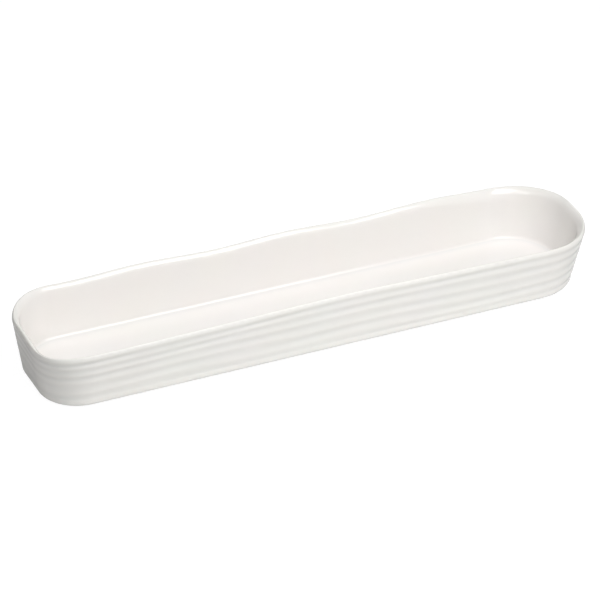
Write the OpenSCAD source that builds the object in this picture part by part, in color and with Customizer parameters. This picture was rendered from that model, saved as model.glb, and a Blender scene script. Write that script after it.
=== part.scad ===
// Long, narrow cracker tray in white glazed porcelain, one fired piece that stands on a bare foot ring.
// Millimetres, +Z up. The origin lies on the table, under the middle of the rim.
// The clay is a floor slab, a ribbed wall and a foot ring, joined with slip while soft and fired as one.
// Three coats of glaze cover the clay everywhere but on the foot ring.

/* [Rim] */
// Length over the rim
rim_l = 331; // [240:1:420]
// Width over the rim
rim_w = 80; // [68:1:110]
// Straight stretch of the rim across the right end, between its two corner rounds
right_flat = 9; // [4:1:16]
// Straight stretch of the rim across the left end, which is squarer
left_flat = 18; // [6:1:24]
// How much tighter the near corner of the left end is rounded than the far one
near_left = 3; // [0:0.5:5]
// Mean height of the rim above the table
rim_h = 35.8; // [26:0.1:50]
// How far the rim stands out past the base, all round
flare = 5.4; // [3:0.1:8]
// Extra outward lean of the right end, which the left end lacks
end_lean = 1.4; // [0:0.1:2]
// Extra outward lean of the near corner of the left end
near_lean = 2.2; // [0:0.1:2.5]

/* [Wall and floor] */
// Thickness of the wall with its glaze, away from the ribs
wall_t = 3.7; // [3.4:0.1:5]
// Distance from the crest of the lip out to its fullest line
lip_w = 1; // [0.8:0.1:1.3]
// Drop from the crest of the lip to its fullest line
lip_h = 2.2; // [1.2:0.1:2.5]
// Radius over the crest of the lip
crest_r = 0.7; // [0.4:0.1:1]
// Extra width of the lip at the corners of the right end, where its inside is softest
right_soft = 1; // [0:0.1:2]
// Thickness of the floor with its glaze
floor_t = 3.3; // [3:0.1:6]
// Inside radius at the foot of the wall
fillet_r = 2.5; // [1.5:0.1:5]
// Radius of the gentle rise of the floor towards the wall
dish_r = 22; // [12:1:26]
// Slope of the floor in degrees where that rise meets the foot of the wall
dish_turn = 20; // [8:1:24]
// Radius of the outer edge where the wall turns under
base_edge_r = 2.5; // [1.5:0.1:4]

/* [Foot ring] */
// How far the ring lifts the glazed underside off the table
foot_h = 1.5; // [1:0.1:3]
// Width of the ring
foot_w = 3.5; // [2:0.1:5]
// Distance from the edge of the base in to the ring
foot_inset = 5; // [4.5:0.1:7]

/* [Finger ribs] */
// Spacing of the ribs at the lip
rib_pitch = 4.9; // [4:0.1:8]
// Growth of the spacing from one rib to the next one down
rib_growth = 0.6; // [0:0.1:1]
// Depth of the grooves between the ribs
rib_depth = 0.36; // [0:0.02:1]
// Drop from the fullest line of the lip to the first groove
first_groove = 2.4; // [1:0.1:3.5]
// How far the lowest ribs stray up and down in a slow swing along the tray
slow_stray = 2.3; // [0:0.1:3]
// Length of the slow swing
long_stray = 520; // [300:5:600]
// How far they stray in quick swings
quick_stray = 0.5; // [0:0.1:1]
// Length of a quick swing
short_stray = 115; // [60:1:140]
// Drop below the lip from where the ribs stray in full
stray_drop = 19; // [8:1:25]
// Share of their depth that the grooves lose where they are faintest
rib_faint = 0.4; // [0:0.05:0.8]
// Share of their depth that the grooves lose round the ends
end_faint = 0.8; // [0:0.05:1]

/* [Rim wave] */
// Rise and fall of the rim in three long waves round the tray
long_wave = 0.7; // [0:0.1:1.5]
// Rise and fall of the rim in four short waves, highest at the middle of each side and end
short_wave = 0.45; // [0:0.05:1.2]
// How far the rim dips across the left end
left_dip = 3; // [0:0.1:4]
// Rise and fall of the rim in quick ripples along the far side
far_ripple = 0.8; // [0:0.1:1.2]
// Length of one ripple
ripple_l = 87; // [60:1:140]

/* [Glaze] */
// Thickness of the fired glaze
glaze_t = 0.4; // [0.2:0.05:0.5]

/* [Hidden] */

biscuit_colour = [0.90, 0.87, 0.82];
glaze_colour = [0.95, 0.95, 0.93];

// Facets of the swept surfaces: round a corner, along a side and up the section. An end is one facet across.
corner_steps = 8;
side_steps = 18;
edge_steps = 3;
rib_steps = 24;
lip_steps = 3;
inner_steps = 3;
fillet_steps = 4;
dish_steps = 3;

// Waves of the rim: how many go round the tray, the rise of each, and its phase in degrees at the right end.
rim_waves = [
    [3, long_wave, -7],
    [4, short_wave, 85]
];

// Place of a crest of the ripples along the tray.
ripple_x = 92;

// Slope in degrees at which the round of the crest runs into the softer inside of the lip.
crest_turn = 30;

// Place along the tray where the lip is widest, and how far from there it is back to its usual width.
soft_x = 130;
soft_l = 42;

// Share of the outward direction that points along the tray where the grooves begin to fade round each end.
right_fade = 0.5;
left_fade = 0.8;

// Phases in degrees: at the middle of the tray, the turn from there to the far side, and the turn down one rib.
long_phase = [212, 40, 11];
short_phase = [227, -60, 18];
faint_phase = [60, 130, 160];

// Heights that the pieces share.
clay_under_z = foot_h + glaze_t;
wall_start_z = foot_h + base_edge_r;
floor_z = foot_h + floor_t;
clay_floor_z = floor_z - glaze_t;

// A corner round of the base outline as its centre and its radius, which the flare moves out to the rim.
// End is 1 at the right and -1 at the left, and side is 1 at the far side and -1 at the near side.
function corner_round(end, side) = let (
    flat = end > 0 ? right_flat : left_flat,
    tighter = end < 0 && side < 0 ? near_left : 0,
    radius = (rim_w - flat) / 2 - tighter - flare
) [end * (rim_l / 2 - flare - radius) - end_lean, side * (flat / 2 + tighter), radius];

corners = [corner_round(1, 1), corner_round(-1, 1), corner_round(-1, -1), corner_round(1, -1)];

// A station is a point of the base outline and the outward direction there: [x, y, nx, ny].
function station(corner, angle) = [
    corner.x + corner[2] * cos(angle),
    corner.y + corner[2] * sin(angle),
    cos(angle),
    sin(angle)
];

// Steps along the straight stretch after a corner: a long side after corners 0 and 2, an end after 1 and 3.
function straight_steps(k) = k % 2 == 0 ? side_steps : 1;

// Stations of corner k and of the straight stretch after it.
function quarter(k) = let (
    angle = 90 * (k + 1),
    from = station(corners[k], angle),
    to = station(corners[(k + 1) % 4], angle),
    count = straight_steps(k)
) concat(
    [for (j = [0:corner_steps]) station(corners[k], 90 * (k + j / corner_steps))],
    [for (j = [1:1:count - 1]) from + (to - from) * j / count]
);

stations = [for (k = [0:3]) each quarter(k)];

// Place across the tray, from -1 at the near side to 1 at the far side.
function across(s) = s.y / (rim_w / 2);

// Way round the tray in degrees, from the middle of the right end.
function way_round(s) = atan2(s.y / rim_w, s.x / rim_l);

// Height of the fullest line of the lip, which rises and falls round the tray.
function lip_z(s) = let (
    rises = [for (wave = rim_waves) wave[1] * sin(wave[0] * way_round(s) + wave[2])],
    ripple = far_ripple * cos(360 * (s.x - ripple_x) / ripple_l) * (1 + across(s)) / 2,
    dip = left_dip * pow(max(0, -s[2]), 3)
) rim_h - lip_h + rises[0] + rises[1] + ripple - dip;

// Share of the near corner of the left end at a station, 1 at the middle of the corner.
function near_share(s) = let (turn = 2 * max(0, -s[2]) * max(0, -s[3])) turn * turn;

// How far the wall stands out at its lip, more at the right end than at the left.
function lip_out(s) = flare + end_lean * s[2] + near_lean * near_share(s);

// Lean of the wall from upright, in degrees.
function wall_lean(s) = atan(lip_out(s) / (lip_z(s) - wall_start_z));

// Outward offset of the smooth wall at height z.
function wall_out(s, z) = lip_out(s) * (z - wall_start_z) / (lip_z(s) - wall_start_z);

// Smooth step from 0 to 1 as v goes from 0 to 1.
function ease(v) = let (c = max(0, min(1, v))) c * c * (3 - 2 * c);

// A slow swing between -1 and 1 along the tray, across it and down the ribs.
function swing(s, drop, length, phase) =
    sin(360 * s.x / length + phase[0] + phase[1] * across(s) + phase[2] * drop / rib_pitch);

// How far the ribs have strayed at a drop below the lip.
function stray(s, drop) = ease(drop / stray_drop) * (
    slow_stray * swing(s, drop, long_stray, long_phase)
    + quick_stray * swing(s, drop, short_stray, short_phase)
);

// Number of ribs in a distance below the first groove, as their spacing grows.
function rib_count(below) = 2 * below / (rib_pitch + sqrt(rib_pitch * rib_pitch + 2 * rib_growth * below));

// Depth of the ribbing below the smooth wall. It fades out at the lip, at the edge of the base and at the ends.
function groove(s, z) = let (
    drop = lip_z(s) - z,
    turn = 360 * rib_count(drop - first_groove + stray(s, drop)),
    strength = 1 - rib_faint * (1 + swing(s, drop, short_stray, faint_phase)) / 2,
    edge_fade = ease(drop / first_groove) * ease((z - wall_start_z) / base_edge_r),
    fade_from = s[2] > 0 ? right_fade : left_fade,
    end_fade = 1 - end_faint * ease((abs(s[2]) - fade_from) / (1 - fade_from))
) rib_depth * strength * edge_fade * end_fade * (1 + cos(turn)) / 2;

// Section of the glazed surface as [offset, height] points, in three stretches from the foot ring to the floor.
under_edge = concat(
    [[-foot_inset, foot_h]],
    [for (k = [0:edge_steps - 1]) let (a = 90 * k / edge_steps)
        [base_edge_r * (sin(a) - 1), foot_h + base_edge_r * (1 - cos(a))]]
);

function outer_wall(s) = [for (k = [0:rib_steps])
    let (z = wall_start_z + (lip_z(s) - wall_start_z) * k / rib_steps)
    [wall_out(s, z) - groove(s, z), z]];

function lip_outside(s) = [for (k = [1:lip_steps])
    let (a = 90 * k / lip_steps)
    [lip_out(s) + lip_w * (cos(a) - 1), lip_z(s) + lip_h * sin(a)]];

// The inside of the lip turns tightly over the crest, and then in one arc into the inner face of the wall.
function lip_inside(s) = let (
    lean = wall_lean(s),
    widening = max(0, 1 - pow((s.x - soft_x) / soft_l, 2)),
    thickness = wall_t + right_soft * widening * widening,
    turn_out = lip_out(s) - lip_w - crest_r * sin(crest_turn),
    turn_z = lip_z(s) + lip_h - crest_r * (1 - cos(crest_turn)),
    radius = (turn_out + thickness - wall_out(s, turn_z)) * cos(lean) / (1 - sin(crest_turn + lean))
) concat(
    [[turn_out, turn_z]],
    [for (k = [1:lip_steps]) let (a = crest_turn + (90 - lean - crest_turn) * k / lip_steps)
        [turn_out - radius * (sin(a) - sin(crest_turn)), turn_z - radius * (cos(crest_turn) - cos(a))]]
);

// The inner face runs down to a tight curve at its foot, and that curve into the gentle rise of the floor.
function inner_wall(s) = let (
    lean = wall_lean(s),
    from = lip_inside(s)[lip_steps],
    dish_z = floor_z + dish_r * (1 - cos(dish_turn)),
    end_z = dish_z + fillet_r * (cos(dish_turn) - sin(lean)),
    end_out = wall_out(s, end_z) - wall_t,
    dish_out = end_out - fillet_r * (cos(lean) - sin(dish_turn))
) concat(
    [for (k = [1:inner_steps]) from + ([end_out, end_z] - from) * k / inner_steps],
    [for (k = [1:fillet_steps]) let (a = lean + (90 - dish_turn - lean) * k / fillet_steps)
        [end_out - fillet_r * (cos(lean) - cos(a)), end_z - fillet_r * (sin(a) - sin(lean))]],
    [for (k = [1:dish_steps]) let (a = dish_turn * (1 - k / dish_steps))
        [dish_out - dish_r * (sin(dish_turn) - sin(a)), floor_z + dish_r * (1 - cos(a))]]
);

function outer_section(s) = concat(under_edge, outer_wall(s), lip_outside(s));
function glazed_section(s) = concat(outer_section(s), lip_inside(s), inner_wall(s));

// Index of the crest of the lip in the section, where the outside and the inside glaze meet.
crest = len(outer_section(stations[0])) - 1;
last = len(glazed_section(stations[0])) - 1;

// Direction out of the clay at a point of the section, straight down at the foot ring and up at the floor.
function out_of_clay(section, k) =
    k == 0 ? [0, -1]
    : k == last ? [0, 1]
    : let (d = section[k + 1] - section[k - 1]) [d.y, -d.x] / norm(d);

// Section of the clay surface, one glaze thickness under the glazed one.
function clay_section(s) = let (section = glazed_section(s))
    [for (k = [0:last]) section[k] - glaze_t * out_of_clay(section, k)];

function slice(list, from, to) = [for (k = [from:to]) list[k]];
function backwards(list) = [for (k = [len(list) - 1:-1:0]) list[k]];

// Section of a coat of glaze: along the glazed surface, and back along the clay.
function coat(s, from, to) = concat(
    slice(glazed_section(s), from, to),
    backwards(slice(clay_section(s), from, to))
);

// Offset of the edge of the flat floor.
function floor_edge(s) = glazed_section(s)[last][0];

// Section of the clay wall: its surface, and the joint with the floor slab.
function wall_section(s) = concat(clay_section(s), [[floor_edge(s), clay_under_z]]);

// Plan outline at one offset from the base outline.
function outline(offset) = [for (s = stations) [s.x + offset * s[2], s.y + offset * s[3]]];

// Point of a section at its station.
function placed(s, p) = [s.x + p.x * s[2], s.y + p.x * s[3], p.y];

// Two triangles of a four-sided patch, cut along one diagonal or the other.
function patch(a, b, c, d, other) = other ? [[a, b, d], [b, c, d]] : [[a, b, c], [a, c, d]];

// Triangles of a flat floor, as station numbers, in strips across the tray between mirrored stations.
function floor_triangles(n) = [
    for (k = [0:n / 2 - 2]) each patch(k, n - 1 - k, n - 2 - k, k + 1, false)
];

// Solid swept round the stations. The patches from index back_from on return along the clay, and are cut the
// other way so that they match the clay's. With capped, the ring is closed by two floors at that index.
module swept(sections, back_from, capped = false) {
    n = len(sections);
    m = len(sections[0]);
    points = [for (i = [0:n - 1], p = sections[i]) placed(stations[i], p)];
    sides = [
        for (i = [0:n - 1], j = [0:m - 1])
        let (here = i * m, next = (i + 1) % n * m, k = (j + 1) % m)
        if (!(capped && k == back_from))
        each patch(here + j, here + k, next + k, next + j, j >= back_from)
    ];
    floors = [
        for (f = floor_triangles(n))
        each [f * m + [1, 1, 1] * (back_from - 1), [f[2], f[1], f[0]] * m + [1, 1, 1] * back_from]
    ];
    polyhedron(points, capped ? concat(sides, floors) : sides, convexity = 6);
}

// Rolled slab of clay that fills the wall from the rise of the floor inwards.
module floor_slab() {
    color(biscuit_colour)
    translate([0, 0, clay_under_z])
    linear_extrude(clay_floor_z - clay_under_z)
    polygon([for (s = stations) let (p = placed(s, [floor_edge(s), 0])) [p.x, p.y]]);
}

// Clay wall with its lip and the rise of the floor, ribbed by the fingers outside and smooth inside.
module ribbed_wall() {
    color(biscuit_colour)
    swept([for (s = stations) wall_section(s)], last + 2);
}

// Bare ring under the wall, the only part that touches the table.
module foot_ring() {
    color(biscuit_colour)
    linear_extrude(clay_under_z)
    difference() {
        polygon(outline(-foot_inset));
        polygon(outline(-foot_inset - foot_w));
    }
}

// Glaze over the floor and up the inside to the crest of the lip.
module inside_glaze() {
    color(glaze_colour)
    swept([for (s = stations) coat(s, crest, last)], last - crest + 1, capped = true);
}

// Glaze from the crest of the lip down the ribs and under the edge to the foot ring.
module outside_glaze() {
    color(glaze_colour)
    swept([for (s = stations) coat(s, 0, crest)], crest + 1);
}

// Glaze on the underside within the foot ring.
module underside_glaze() {
    color(glaze_colour)
    translate([0, 0, foot_h])
    linear_extrude(glaze_t)
    polygon(outline(-foot_inset - foot_w));
}

floor_slab();
ribbed_wall();
foot_ring();
inside_glaze();
outside_glaze();
underside_glaze();
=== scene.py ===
import math
import bmesh
import bpy
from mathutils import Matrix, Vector


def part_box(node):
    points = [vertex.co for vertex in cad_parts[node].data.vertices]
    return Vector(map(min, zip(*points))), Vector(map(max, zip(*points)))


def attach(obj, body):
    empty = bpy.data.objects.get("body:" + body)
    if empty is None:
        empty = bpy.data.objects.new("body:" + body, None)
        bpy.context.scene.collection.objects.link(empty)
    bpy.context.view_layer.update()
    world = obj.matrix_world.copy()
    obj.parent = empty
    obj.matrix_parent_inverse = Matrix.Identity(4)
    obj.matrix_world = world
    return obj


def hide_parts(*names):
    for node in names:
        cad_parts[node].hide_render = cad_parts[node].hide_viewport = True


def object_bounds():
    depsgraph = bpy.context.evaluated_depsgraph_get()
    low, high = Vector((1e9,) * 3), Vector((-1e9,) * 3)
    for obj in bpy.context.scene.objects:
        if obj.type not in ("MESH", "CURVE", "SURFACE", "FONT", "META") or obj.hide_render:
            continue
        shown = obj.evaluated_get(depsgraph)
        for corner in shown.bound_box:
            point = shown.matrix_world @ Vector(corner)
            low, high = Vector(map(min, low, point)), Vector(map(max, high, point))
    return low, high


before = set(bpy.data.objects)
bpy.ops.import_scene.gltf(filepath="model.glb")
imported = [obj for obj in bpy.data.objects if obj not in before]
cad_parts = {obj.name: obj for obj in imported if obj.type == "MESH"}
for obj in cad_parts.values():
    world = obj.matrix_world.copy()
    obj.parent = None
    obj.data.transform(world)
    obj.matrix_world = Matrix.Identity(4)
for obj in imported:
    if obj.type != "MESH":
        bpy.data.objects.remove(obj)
cad_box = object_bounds()


# Clay body: a rolled floor slab and the wall raised on it, joined with slip while soft and fired once.
# It is porcelain clay, matte and a little warm, with a sandy grain and a few specks of iron. Glaze covers
# these two pieces all over, so that only the foot ring shows the bare clay.
def add_node(material, kind, **settings):
    made = material.node_tree.nodes.new(kind)
    for name, value in settings.items():
        if name in made.inputs:
            made.inputs[name].default_value = value
        else:
            setattr(made, name, value)
    return made


def link(material, source, output, target, socket):
    material.node_tree.links.new(source.outputs[output], target.inputs[socket])


def new_material(name):
    material = bpy.data.materials.new(name)
    material.use_nodes = True
    return material, material.node_tree.nodes["Principled BSDF"]


def make_bare_clay():
    material, shader = new_material("bare_fired_clay")
    shader.inputs["Roughness"].default_value = 0.82
    place = add_node(material, "ShaderNodeTexCoord")
    clouds = add_node(material, "ShaderNodeTexNoise", Scale=70, Detail=4)
    tint = add_node(material, "ShaderNodeMix", data_type="RGBA")
    tint.inputs["A"].default_value = (0.71, 0.66, 0.585, 1)
    tint.inputs["B"].default_value = (0.79, 0.75, 0.69, 1)
    iron = add_node(material, "ShaderNodeTexVoronoi", Scale=240, Randomness=1)
    speck = add_node(material, "ShaderNodeMapRange")
    speck.inputs["From Min"].default_value = 0.05
    speck.inputs["From Max"].default_value = 0.09
    speck.inputs["To Min"].default_value = 0.45
    speck.inputs["To Max"].default_value = 0
    spotted = add_node(material, "ShaderNodeMix", data_type="RGBA")
    spotted.inputs["B"].default_value = (0.36, 0.25, 0.16, 1)
    grain = add_node(material, "ShaderNodeTexNoise", Scale=2600, Detail=3)
    relief = add_node(material, "ShaderNodeBump", Strength=0.6, Distance=0.00005)
    for texture in (clouds, iron, grain):
        link(material, place, "Object", texture, "Vector")
    link(material, clouds, "Fac", tint, "Factor")
    link(material, iron, "Distance", speck, "Value")
    link(material, speck, "Result", spotted, "Factor")
    link(material, tint, "Result", spotted, "A")
    link(material, spotted, "Result", shader, "Base Color")
    link(material, grain, "Fac", relief, "Height")
    link(material, relief, "Normal", shader, "Normal")
    return material


bare_clay = make_bare_clay()
for clay_piece in ("floor_slab", "ribbed_wall"):
    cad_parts[clay_piece].material_slots[0].material = bare_clay


# Foot ring: a low coil of the same clay luted under the wall, then trimmed flat so that the tray stands true.
# It is left bare of glaze, so that it can't stick in the kiln, and its lower edges are rubbed round.
rim_l = cad_box[1].x - cad_box[0].x
rim_w = cad_box[1].y - cad_box[0].y
flare = 0.0054
end_lean = 0.0014
right_flat = 0.009
left_flat = 0.018
near_left = 0.003
base_l = rim_l - 2 * flare
base_w = rim_w - 2 * flare
corner_segments = 30
side_cuts = 84
end_cuts = 5
foot_inset = 0.005
foot_w = 0.0035
foot_edge_r = 0.0007
foot_edge_segments = 4
round_profile = 0.5
crease = math.radians(35)
tiny = 1e-6


def corner_radius(end, side):
    """Radius of one corner of the base: the right end is rounder, the near left corner tighter."""
    flat = right_flat if end > 0 else left_flat
    tighter = near_left if end < 0 and side < 0 else 0
    return (rim_w - flat) / 2 - tighter - flare


def pick(piece, kind, wanted):
    """Select the wanted points, edges or faces of a piece in edit mode."""
    bpy.ops.mesh.select_mode(type=kind)
    bpy.ops.mesh.select_all(action="DESELECT")
    shape = bmesh.from_edit_mesh(piece.data)
    parts = {"VERT": shape.verts, "EDGE": shape.edges, "FACE": shape.faces}[kind]
    for part in parts:
        if wanted(part):
            part.select_set(True)
    bmesh.update_edit_mesh(piece.data)


def base_outline(name, inset, height):
    """One flat face with the outline of the base, drawn in by inset, and left in edit mode."""
    bpy.ops.object.select_all(action="DESELECT")
    bpy.ops.mesh.primitive_plane_add(size=1, location=(-end_lean, 0, height))
    piece = bpy.context.object
    piece.name = name
    piece.scale = (base_l - 2 * inset, base_w - 2 * inset, 1)
    bpy.ops.object.transform_apply(location=True, rotation=False, scale=True)
    bpy.ops.object.mode_set(mode="EDIT")
    for end, side in ((1, 1), (1, -1), (-1, 1), (-1, -1)):
        corner = Vector((end * (base_l / 2 - inset) - end_lean, side * (base_w / 2 - inset), height))
        pick(piece, "VERT", lambda v: (v.co - corner).length < tiny)
        radius = corner_radius(end, side) - inset
        bpy.ops.mesh.bevel(affect="VERTICES", offset=radius, segments=corner_segments, profile=round_profile)
    pick(piece, "EDGE", lambda e: e.calc_length() > rim_l / 2)
    bpy.ops.mesh.subdivide(number_cuts=side_cuts)
    for end in (1, -1):
        end_x = end * (base_l / 2 - inset) - end_lean
        pick(piece, "EDGE", lambda e: all(abs(v.co.x - end_x) < tiny for v in e.verts))
        bpy.ops.mesh.subdivide(number_cuts=end_cuts)
    return piece


foot_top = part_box("foot_ring")[1].z
bare_foot = base_outline("bare_foot", foot_inset, foot_top)
bpy.ops.mesh.select_mode(type="FACE")
bpy.ops.mesh.select_all(action="SELECT")
bpy.ops.mesh.inset(thickness=foot_w)
bpy.ops.mesh.delete(type="FACE")
bpy.ops.mesh.select_all(action="SELECT")
bpy.ops.mesh.extrude_region_move(TRANSFORM_OT_translate={"value": (0, 0, -foot_top)})
bpy.ops.mesh.select_all(action="SELECT")
bpy.ops.mesh.normals_make_consistent(inside=False)
pick(bare_foot, "EDGE", lambda e: max(v.co.z for v in e.verts) < tiny and e.calc_face_angle(0) > crease)
bpy.ops.mesh.bevel(offset=foot_edge_r, segments=foot_edge_segments, profile=round_profile)
bpy.ops.object.mode_set(mode="OBJECT")
bpy.ops.object.shade_smooth_by_angle(angle=crease)
bare_foot.data.materials.append(bare_clay)
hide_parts("foot_ring")
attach(bare_foot, "root")


# Glaze on the tray: one coat of clear white glaze, poured in and dipped outside, that runs from the foot ring
# under the edge, up the finger ribs, over the lip and down to the floor. It is glossy. Its colour is made a
# little grey on the lip, partly from thin glaze and partly as painted shade, and darker in the grooves, along
# the foot of the wall and on the floor, partly from glaze that pools there and partly as painted shade.
rim_h = 0.0358
foot_h = 0.0015
wall_t = 0.0037
floor_t = 0.0033
near_lean = 0.0022
lip_w = 0.001
lip_h = 0.0022
crest_r = 0.0007
crest_turn = math.radians(30)
right_soft = 0.001
soft_x = 0.130
soft_l = 0.042
fillet_r = 0.0025
dish_r = 0.022
dish_turn = math.radians(20)
base_edge_r = 0.0025
glaze_t = 0.0004
rib_pitch = 0.0049
rib_growth = 0.0006
rib_depth = 0.00036
first_groove = 0.0024
slow_stray = 0.0023
long_stray = 0.520
quick_stray = 0.0005
short_stray = 0.115
stray_drop = 0.019
rib_faint = 0.4
end_faint = 0.8
right_fade = 0.5
left_fade = 0.8
# Where each slow wave of the ribs starts, in degrees, with what the far side and each rib down add to it.
long_phase = (212, 40, 11)
short_phase = (227, -60, 18)
faint_phase = (60, 130, 160)
# Waves of the rim: how many go round it, their rise, and where they start in degrees.
rim_waves = ((3, 0.0007, -7), (4, 0.00045, 85))
left_dip = 0.003
far_ripple = 0.0008
ripple_l = 0.087
ripple_x = 0.092
wall_start_z = foot_h + base_edge_r
floor_z = foot_h + floor_t
edge_rows = 6
rib_rows = 72
lip_rows = 10
crest_rows = 4
inner_rows = 8
fillet_rows = 10
dish_rows = 6
# Rows on the flat floor: how far in from its edge, and how much the glaze colour is darkened there, partly by
# glaze that pools and partly as painted shade.
floor_rows = ((0.002, 0.3), (0.005, 0.4), (0.010, 0.5))
# These amounts darken and cool the glaze colour: partly glaze that pools, partly painted shade under the base
# edge, in the grooves, along the foot of the wall, in the dish and on the floor.
edge_pool_and_shade = 0.15
groove_pool_and_shade = 0.5
fillet_pool_and_shade_rows = 3
dish_start_pool_and_shade = 0.6
dish_pool_and_shade = 0.25
row_step = 0.001


def ease(share):
    held = max(0, min(1, share))
    return held * held * (3 - 2 * held)


def station_at(x, y):
    """The point of the base outline at x, y, and the outward direction there."""
    end = 1 if x > 0 else -1
    side = 1 if y > 0 else -1
    radius = corner_radius(end, side)
    centre = Vector((end * (base_l / 2 - radius) - end_lean, side * (base_w / 2 - radius)))
    if end * (x - centre.x) <= 0:
        return (x, side * base_w / 2, 0, side)
    if side * (y - centre.y) <= 0:
        return (end * base_l / 2 - end_lean, y, end, 0)
    out = (Vector((x, y)) - centre).normalized()
    foot = centre + radius * out
    return (foot.x, foot.y, out.x, out.y)


def swing(station, drop, length, phase):
    """A slow wave along the tray, from -1 to 1, at a drop below the lip."""
    x, y = station[:2]
    turn = math.radians(phase[0] + phase[1] * y / (rim_w / 2) + phase[2] * drop / rib_pitch)
    return math.sin(2 * math.pi * x / length + turn)


def groove(station, drop, height):
    """How deep the finger ribs are at a drop below the lip, as a share of the deepest groove."""
    stray = slow_stray * swing(station, drop, long_stray, long_phase)
    stray += quick_stray * swing(station, drop, short_stray, short_phase)
    below = drop - first_groove + stray * ease(drop / stray_drop)
    ribs = 2 * below / (rib_pitch + math.sqrt(rib_pitch * rib_pitch + 2 * rib_growth * below))
    turn = 2 * math.pi * ribs
    strength = 1 - rib_faint * (1 + swing(station, drop, short_stray, faint_phase)) / 2
    fade = ease(drop / first_groove) * ease((height - wall_start_z) / base_edge_r)
    fade_from = right_fade if station[2] > 0 else left_fade
    fade *= 1 - end_faint * ease((abs(station[2]) - fade_from) / (1 - fade_from))
    return strength * fade * (1 + math.cos(turn)) / 2


def section(station):
    """Rows of (offset, height, pooling and painted shade, inside, thinning and painted shade) from the foot
    ring to the floor at one station.
    """
    x, y, out_x, out_y = station
    way_round = math.atan2(y / rim_w, x / rim_l)
    ripple = math.cos(2 * math.pi * (x - ripple_x) / ripple_l) * (1 + y / (rim_w / 2)) / 2
    lip_z = rim_h - lip_h + far_ripple * ripple - left_dip * max(0, -out_x) ** 3
    for count, rise, phase in rim_waves:
        lip_z += rise * math.sin(count * way_round + math.radians(phase))
    near_share = (2 * max(0, -out_x) * max(0, -out_y)) ** 2
    lip_out = flare + end_lean * out_x + near_lean * near_share
    rows = [(-foot_inset, foot_h, edge_pool_and_shade, 0, 0)]
    for k in range(edge_rows):
        a = math.pi / 2 * k / edge_rows
        z = foot_h + base_edge_r * (1 - math.cos(a))
        rows.append((base_edge_r * (math.sin(a) - 1), z, edge_pool_and_shade, 0, 0))
    for k in range(rib_rows + 1):
        z = wall_start_z + (lip_z - wall_start_z) * k / rib_rows
        share = groove(station, lip_z - z, z)
        # Greyer toward the top of the lip: partly thin glaze, partly painted shade that tones down the lit
        # lip.
        thin_and_shade = ease(1 - (lip_z - z) / lip_h)
        # The grooves get pooled glaze and painted shade in step with their depth.
        rows.append((lip_out * k / rib_rows - rib_depth * share, z, groove_pool_and_shade * share, 0, thin_and_shade))
    slope = lip_out / (lip_z - wall_start_z)
    lean = math.atan(slope)
    lip_t = wall_t + right_soft * max(0, 1 - ((x - soft_x) / soft_l) ** 2) ** 2
    for k in range(1, lip_rows + 1):
        a = math.pi / 2 * k / lip_rows
        rows.append((lip_out + lip_w * (math.cos(a) - 1), lip_z + lip_h * math.sin(a), 0, 0, 1))
    for k in range(1, crest_rows + 1):
        a = crest_turn * k / crest_rows
        z = lip_z + lip_h - crest_r * (1 - math.cos(a))
        rows.append((lip_out - lip_w - crest_r * math.sin(a), z, 0, 0, ease(1 - k / crest_rows)))
    turn_out, turn_z = rows[-1][:2]
    room = turn_out + lip_t - lip_out - slope * (turn_z - lip_z)
    lip_r = room * math.cos(lean) / (1 - math.sin(crest_turn + lean))
    for k in range(1, lip_rows + 1):
        a = crest_turn + (math.pi / 2 - lean - crest_turn) * k / lip_rows
        z = turn_z - lip_r * (math.cos(crest_turn) - math.cos(a))
        rows.append((turn_out - lip_r * (math.sin(a) - math.sin(crest_turn)), z, 0, k / lip_rows, 0))
    lip_end_out, lip_end_z = rows[-1][:2]
    dish_z = floor_z + dish_r * (1 - math.cos(dish_turn))
    end_z = dish_z + fillet_r * (math.cos(dish_turn) - math.sin(lean))
    end_out = slope * (end_z - wall_start_z) - wall_t
    for k in range(1, inner_rows + 1):
        t = k / inner_rows
        z = lip_end_z + (end_z - lip_end_z) * t
        rows.append((lip_end_out + (end_out - lip_end_out) * t, z, 0, 1, 0))
    for k in range(1, fillet_rows + 1):
        a = lean + (math.pi / 2 - dish_turn - lean) * k / fillet_rows
        z = end_z - fillet_r * (math.sin(a) - math.sin(lean))
        # Darker along the foot of the wall inside: partly pooled glaze, partly painted shade in the crease.
        pool_and_shade = ease((k - fillet_rows + fillet_pool_and_shade_rows) / fillet_pool_and_shade_rows)
        rows.append((end_out - fillet_r * (math.cos(lean) - math.cos(a)), z, pool_and_shade, 1, 0))
    dish_out = rows[-1][0]
    for k in range(1, dish_rows + 1):
        a = dish_turn * (1 - k / dish_rows)
        z = floor_z + dish_r * (1 - math.cos(a))
        pool_and_shade = dish_start_pool_and_shade if k == 1 else dish_pool_and_shade
        rows.append((dish_out - dish_r * (math.sin(dish_turn) - math.sin(a)), z, pool_and_shade, 1, 0))
    floor_out = rows[-1][0]
    for gone, pool_and_shade in floor_rows:
        rows.append((floor_out - gone, floor_z, pool_and_shade, 1, 0))
    return rows


def is_level(face):
    return abs(face.normal.z) > 0.5


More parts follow.
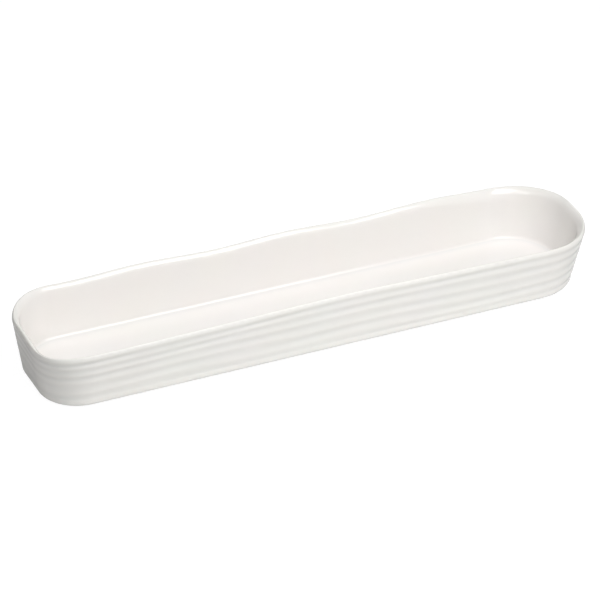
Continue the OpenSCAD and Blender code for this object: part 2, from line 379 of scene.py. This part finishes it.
# The outline is drawn up in two lifts, because one subdivide makes no more than 100 cuts.
row_count = 1 + edge_rows + rib_rows + 1 + 2 * lip_rows + crest_rows
row_count += inner_rows + fillet_rows + dish_rows + len(floor_rows)
white_glaze = base_outline("white_glaze", 0, 0)
half_steps = (row_count - 1) // 2
for steps in (half_steps, row_count - 1 - half_steps):
    top = max(v.co.z for v in bmesh.from_edit_mesh(white_glaze.data).verts)
    pick(white_glaze, "FACE", lambda f: is_level(f) and f.calc_center_median().z > top - tiny)
    bpy.ops.mesh.extrude_region_move(TRANSFORM_OT_translate={"value": (0, 0, steps * row_step)})
    pick(white_glaze, "EDGE", lambda e: abs(e.verts[0].co.z - e.verts[1].co.z) > (steps - 0.5) * row_step
         and max(v.co.z for v in e.verts) > top + tiny)
    bpy.ops.mesh.subdivide(number_cuts=steps - 1)
pick(white_glaze, "FACE", lambda f: is_level(f) and f.calc_center_median().z < tiny)
bpy.ops.mesh.delete(type="ONLY_FACE")
bpy.ops.object.mode_set(mode="OBJECT")

# Each step of the lifts becomes one row of the section there, and no point leaves the tray's own box.
sections = {}
pooling_and_shade = white_glaze.data.attributes.new("pooling_and_shade", "FLOAT", "POINT")
inside = white_glaze.data.attributes.new("inside", "FLOAT", "POINT")
thinning_and_shade = white_glaze.data.attributes.new("thinning_and_shade", "FLOAT", "POINT")
for vertex in white_glaze.data.vertices:
    plan = (round(vertex.co.x, 6), round(vertex.co.y, 6))
    if plan not in sections:
        station = station_at(*plan)
        sections[plan] = (station, section(station))
    (x, y, out_x, out_y), rows = sections[plan]
    offset, height, pool_and_shade, inner, thin_and_shade = rows[round(vertex.co.z / row_step)]
    y += offset * out_y
    vertex.co = (x + offset * out_x, max(-rim_w / 2, min(rim_w / 2, y)), min(height, cad_box[1].z))
    pooling_and_shade.data[vertex.index].value = pool_and_shade
    inside.data[vertex.index].value = inner
    thinning_and_shade.data[vertex.index].value = thin_and_shade
thickness = white_glaze.modifiers.new("glaze_thickness", "SOLIDIFY")
thickness.thickness = glaze_t
thickness.offset = -1
thickness.use_even_offset = True
bpy.ops.object.modifier_apply(modifier=thickness.name)
bpy.ops.object.shade_smooth()


def make_white_glaze():
    material, shader = new_material("white_porcelain_glaze")
    shader.inputs["IOR"].default_value = 1.48
    place = add_node(material, "ShaderNodeTexCoord")
    pool_and_shade = add_node(material, "ShaderNodeAttribute", attribute_name="pooling_and_shade")
    inner = add_node(material, "ShaderNodeAttribute", attribute_name="inside")
    coat = add_node(material, "ShaderNodeMix", data_type="RGBA")
    coat.inputs["A"].default_value = (0.90, 0.886, 0.850, 1)
    coat.inputs["B"].default_value = (0.90, 0.873, 0.846, 1)
    # Darkens and cools the glaze by the pooling amount: partly pooled glaze, partly painted shade in the
    # grooves, the corners and on the floor.
    pool_and_shade_tint = add_node(material, "ShaderNodeMix", data_type="RGBA", blend_type="MULTIPLY")
    pool_and_shade_tint.inputs["B"].default_value = (0.94, 0.955, 0.965, 1)
    thin_and_shade = add_node(material, "ShaderNodeAttribute", attribute_name="thinning_and_shade")
    # Greys the lip by the thinning amount: partly thin glaze, partly painted shade that dims the lip and its
    # highlight.
    lip = add_node(material, "ShaderNodeMix", data_type="RGBA", blend_type="MULTIPLY")
    lip.inputs["B"].default_value = (0.955, 0.955, 0.95, 1)
    clouds = add_node(material, "ShaderNodeTexNoise", Scale=35, Detail=3)
    mottle = add_node(material, "ShaderNodeMix", data_type="RGBA", blend_type="MULTIPLY")
    mottle.inputs["Factor"].default_value = 0.03
    smear = add_node(material, "ShaderNodeTexNoise", Scale=120, Detail=2)
    gloss = add_node(material, "ShaderNodeMapRange")
    gloss.inputs["To Min"].default_value = 0.05
    gloss.inputs["To Max"].default_value = 0.10
    peel = add_node(material, "ShaderNodeTexNoise", Scale=320, Detail=1)
    relief = add_node(material, "ShaderNodeBump", Strength=0.25, Distance=0.00003)
    for texture in (clouds, smear, peel):
        link(material, place, "Object", texture, "Vector")
    link(material, inner, "Fac", coat, "Factor")
    link(material, pool_and_shade, "Fac", pool_and_shade_tint, "Factor")
    link(material, coat, "Result", pool_and_shade_tint, "A")
    link(material, thin_and_shade, "Fac", lip, "Factor")
    link(material, pool_and_shade_tint, "Result", lip, "A")
    link(material, lip, "Result", mottle, "A")
    link(material, clouds, "Color", mottle, "B")
    link(material, mottle, "Result", shader, "Base Color")
    link(material, smear, "Fac", gloss, "Value")
    link(material, gloss, "Result", shader, "Roughness")
    link(material, peel, "Fac", relief, "Height")
    link(material, relief, "Normal", shader, "Normal")
    return material


white_porcelain = make_white_glaze()
white_glaze.data.materials.append(white_porcelain)
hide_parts("inside_glaze", "outside_glaze")
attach(white_glaze, "root")


# Glaze under the tray: the same glaze on the underside within the foot ring, wiped back from the bare clay
# before the firing, so that its edge is a thin rounded line.
under_edge_r = 0.0003
under_edge_segments = 3
under_low, under_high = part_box("underside_glaze")
under_glaze = base_outline("under_glaze", foot_inset + foot_w, under_high.z)
bpy.ops.mesh.select_all(action="SELECT")
bpy.ops.mesh.extrude_region_move(TRANSFORM_OT_translate={"value": (0, 0, under_low.z - under_high.z)})
bpy.ops.mesh.select_all(action="SELECT")
bpy.ops.mesh.normals_make_consistent(inside=False)
pick(under_glaze, "EDGE", lambda e: max(v.co.z for v in e.verts) < under_low.z + tiny)
bpy.ops.mesh.bevel(offset=under_edge_r, segments=under_edge_segments, profile=round_profile)
bpy.ops.object.mode_set(mode="OBJECT")
bpy.ops.object.shade_smooth_by_angle(angle=crease)
under_glaze.data.materials.append(white_porcelain)
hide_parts("underside_glaze")
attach(under_glaze, "root")


# Table and light: white paper under the tray, its colour painted darker at the left as painted shade, so that
# it throws back less light there. A soft box hangs in front, a fill box at the front left and two weak ones
# behind and at the left, in a room that is dark at the back left. The camera sees the paper as white, shadows
# apart, and the gloss of the glaze a part of that.
table_size = 12


def make_table_paper():
    material, shader = new_material("white_paper")
    place = add_node(material, "ShaderNodeTexCoord")
    parts = add_node(material, "ShaderNodeSeparateXYZ")
    # Painted shade: the paper's colour falls from 0.8 to 0.52 towards the left, standing in for the paper
    # lying in shade there.
    paper_painted_shade = add_node(material, "ShaderNodeMapRange", interpolation_type="SMOOTHSTEP")
    paper_painted_shade.inputs["From Min"].default_value = -0.25
    paper_painted_shade.inputs["From Max"].default_value = -0.10
    paper_painted_shade.inputs["To Min"].default_value = 0.52
    paper_painted_shade.inputs["To Max"].default_value = 0.8
    shader.inputs["Roughness"].default_value = 0.9
    seen = add_node(material, "ShaderNodeLightPath")
    mirrored = add_node(material, "ShaderNodeMath", operation="MULTIPLY")
    mirrored.inputs[1].default_value = 0.15
    either = add_node(material, "ShaderNodeMath", operation="MAXIMUM")
    dim = add_node(material, "ShaderNodeBsdfDiffuse")
    dim.inputs["Color"].default_value = (0.2, 0.2, 0.2, 1)
    glow = add_node(material, "ShaderNodeEmission", Strength=0.92)
    white = add_node(material, "ShaderNodeAddShader")
    choice = add_node(material, "ShaderNodeMixShader")
    output = material.node_tree.nodes["Material Output"]
    link(material, place, "Object", parts, "Vector")
    link(material, parts, "X", paper_painted_shade, "Value")
    link(material, paper_painted_shade, "Result", shader, "Base Color")
    link(material, seen, "Is Camera Ray", either, 0)
    link(material, seen, "Is Glossy Ray", mirrored, 0)
    link(material, mirrored, "Value", either, 1)
    link(material, dim, "BSDF", white, 0)
    link(material, glow, "Emission", white, 1)
    link(material, either, "Value", choice, "Fac")
    link(material, shader, "BSDF", choice, 1)
    link(material, white, "Shader", choice, 2)
    link(material, choice, "Shader", output, "Surface")
    return material


bpy.ops.object.select_all(action="DESELECT")
bpy.ops.mesh.primitive_plane_add(size=table_size, location=(0, 0, 0))
table = bpy.context.object
table.name = "table"
table.data.materials.append(make_table_paper())


def add_soft_box(name, place, towards, width, height, watts):
    bpy.ops.object.select_all(action="DESELECT")
    turn = Vector(towards).to_track_quat("-Z", "Y").to_euler()
    bpy.ops.object.light_add(type="AREA", location=place, rotation=turn)
    lamp = bpy.context.object
    lamp.name = name
    lamp.data.shape = "RECTANGLE"
    lamp.data.size = width
    lamp.data.size_y = height
    lamp.data.energy = watts


add_soft_box("key_box", place=(0.118, -0.36, 0.585), towards=(-0.10, 0.36, -0.575),
             width=0.425, height=0.40, watts=3.25)
add_soft_box("back_box", place=(0.43, 0.72, 0.86), towards=(-0.43, -0.72, -0.86),
             width=0.8, height=0.3, watts=0.1)
add_soft_box("left_box", place=(-0.86, 0.06, 0.70), towards=(0.96, -0.06, -0.68),
             width=0.5, height=0.4, watts=0.6)
add_soft_box("fill_box", place=(-0.72, -0.72, 0.90), towards=(0.68, 0.72, -0.88),
             width=0.6, height=0.5, watts=3.3)

room_bright_side = (0.9, -0.44, 0)
room_stops = (0.3, 0.5)
room_levels = (0.0, 0.22, 0.32, 0.34)
room = bpy.data.worlds.new("room")
bpy.context.scene.world = room
room.use_nodes = True
sky = room.node_tree.nodes["Background"]
sky.inputs["Color"].default_value = (1, 1, 1, 1)
sky_place = room.node_tree.nodes.new("ShaderNodeTexCoord")
sky_way = room.node_tree.nodes.new("ShaderNodeVectorMath")
sky_way.operation = "DOT_PRODUCT"
sky_way.inputs[1].default_value = room_bright_side
sky_span = room.node_tree.nodes.new("ShaderNodeMapRange")
sky_span.inputs["From Min"].default_value = -1
sky_side = room.node_tree.nodes.new("ShaderNodeValToRGB")
for place_on_ramp in room_stops:
    sky_side.color_ramp.elements.new(place_on_ramp)
for stop, level in zip(sky_side.color_ramp.elements, room_levels):
    stop.color = (level, level, level, 1)
room.node_tree.links.new(sky_place.outputs["Generated"], sky_way.inputs[0])
room.node_tree.links.new(sky_way.outputs["Value"], sky_span.inputs["Value"])
room.node_tree.links.new(sky_span.outputs["Result"], sky_side.inputs["Fac"])
room.node_tree.links.new(sky_side.outputs["Color"], sky.inputs["Strength"])


# Camera: well back with a long lens, above the tray and to the left of square on. It is moved across so that
# a point over the middle of the tray falls on one place in a square picture, in pixels from its top left.
camera_azimuth = math.radians(-24.47)
camera_height = math.radians(30.20)
camera_distance = 1.684
camera_lens = 185.1
sensor_w = 36
picture_px = 600
aim_px = (306.94, 271.41)
aim_point = Vector((0, 0, 0.032))
back = Vector((
    math.sin(camera_azimuth) * math.cos(camera_height),
    -math.cos(camera_azimuth) * math.cos(camera_height),
    math.sin(camera_height),
))
right = Vector((math.cos(camera_azimuth), math.sin(camera_azimuth), 0))
up = back.cross(right)
px_size = camera_distance * sensor_w / camera_lens / picture_px
aim_right = (aim_px[0] - picture_px / 2) * px_size
aim_down = (aim_px[1] - picture_px / 2) * px_size
target = aim_point - right * aim_right + up * aim_down
camera_turn = back.to_track_quat("Z", "Y").to_euler()
bpy.ops.object.camera_add(location=target + back * camera_distance, rotation=camera_turn)
camera = bpy.context.object
camera.data.lens = camera_lens
camera.data.sensor_width = sensor_w
bpy.context.scene.camera = camera
bpy.context.scene.view_settings.view_transform = "Standard"
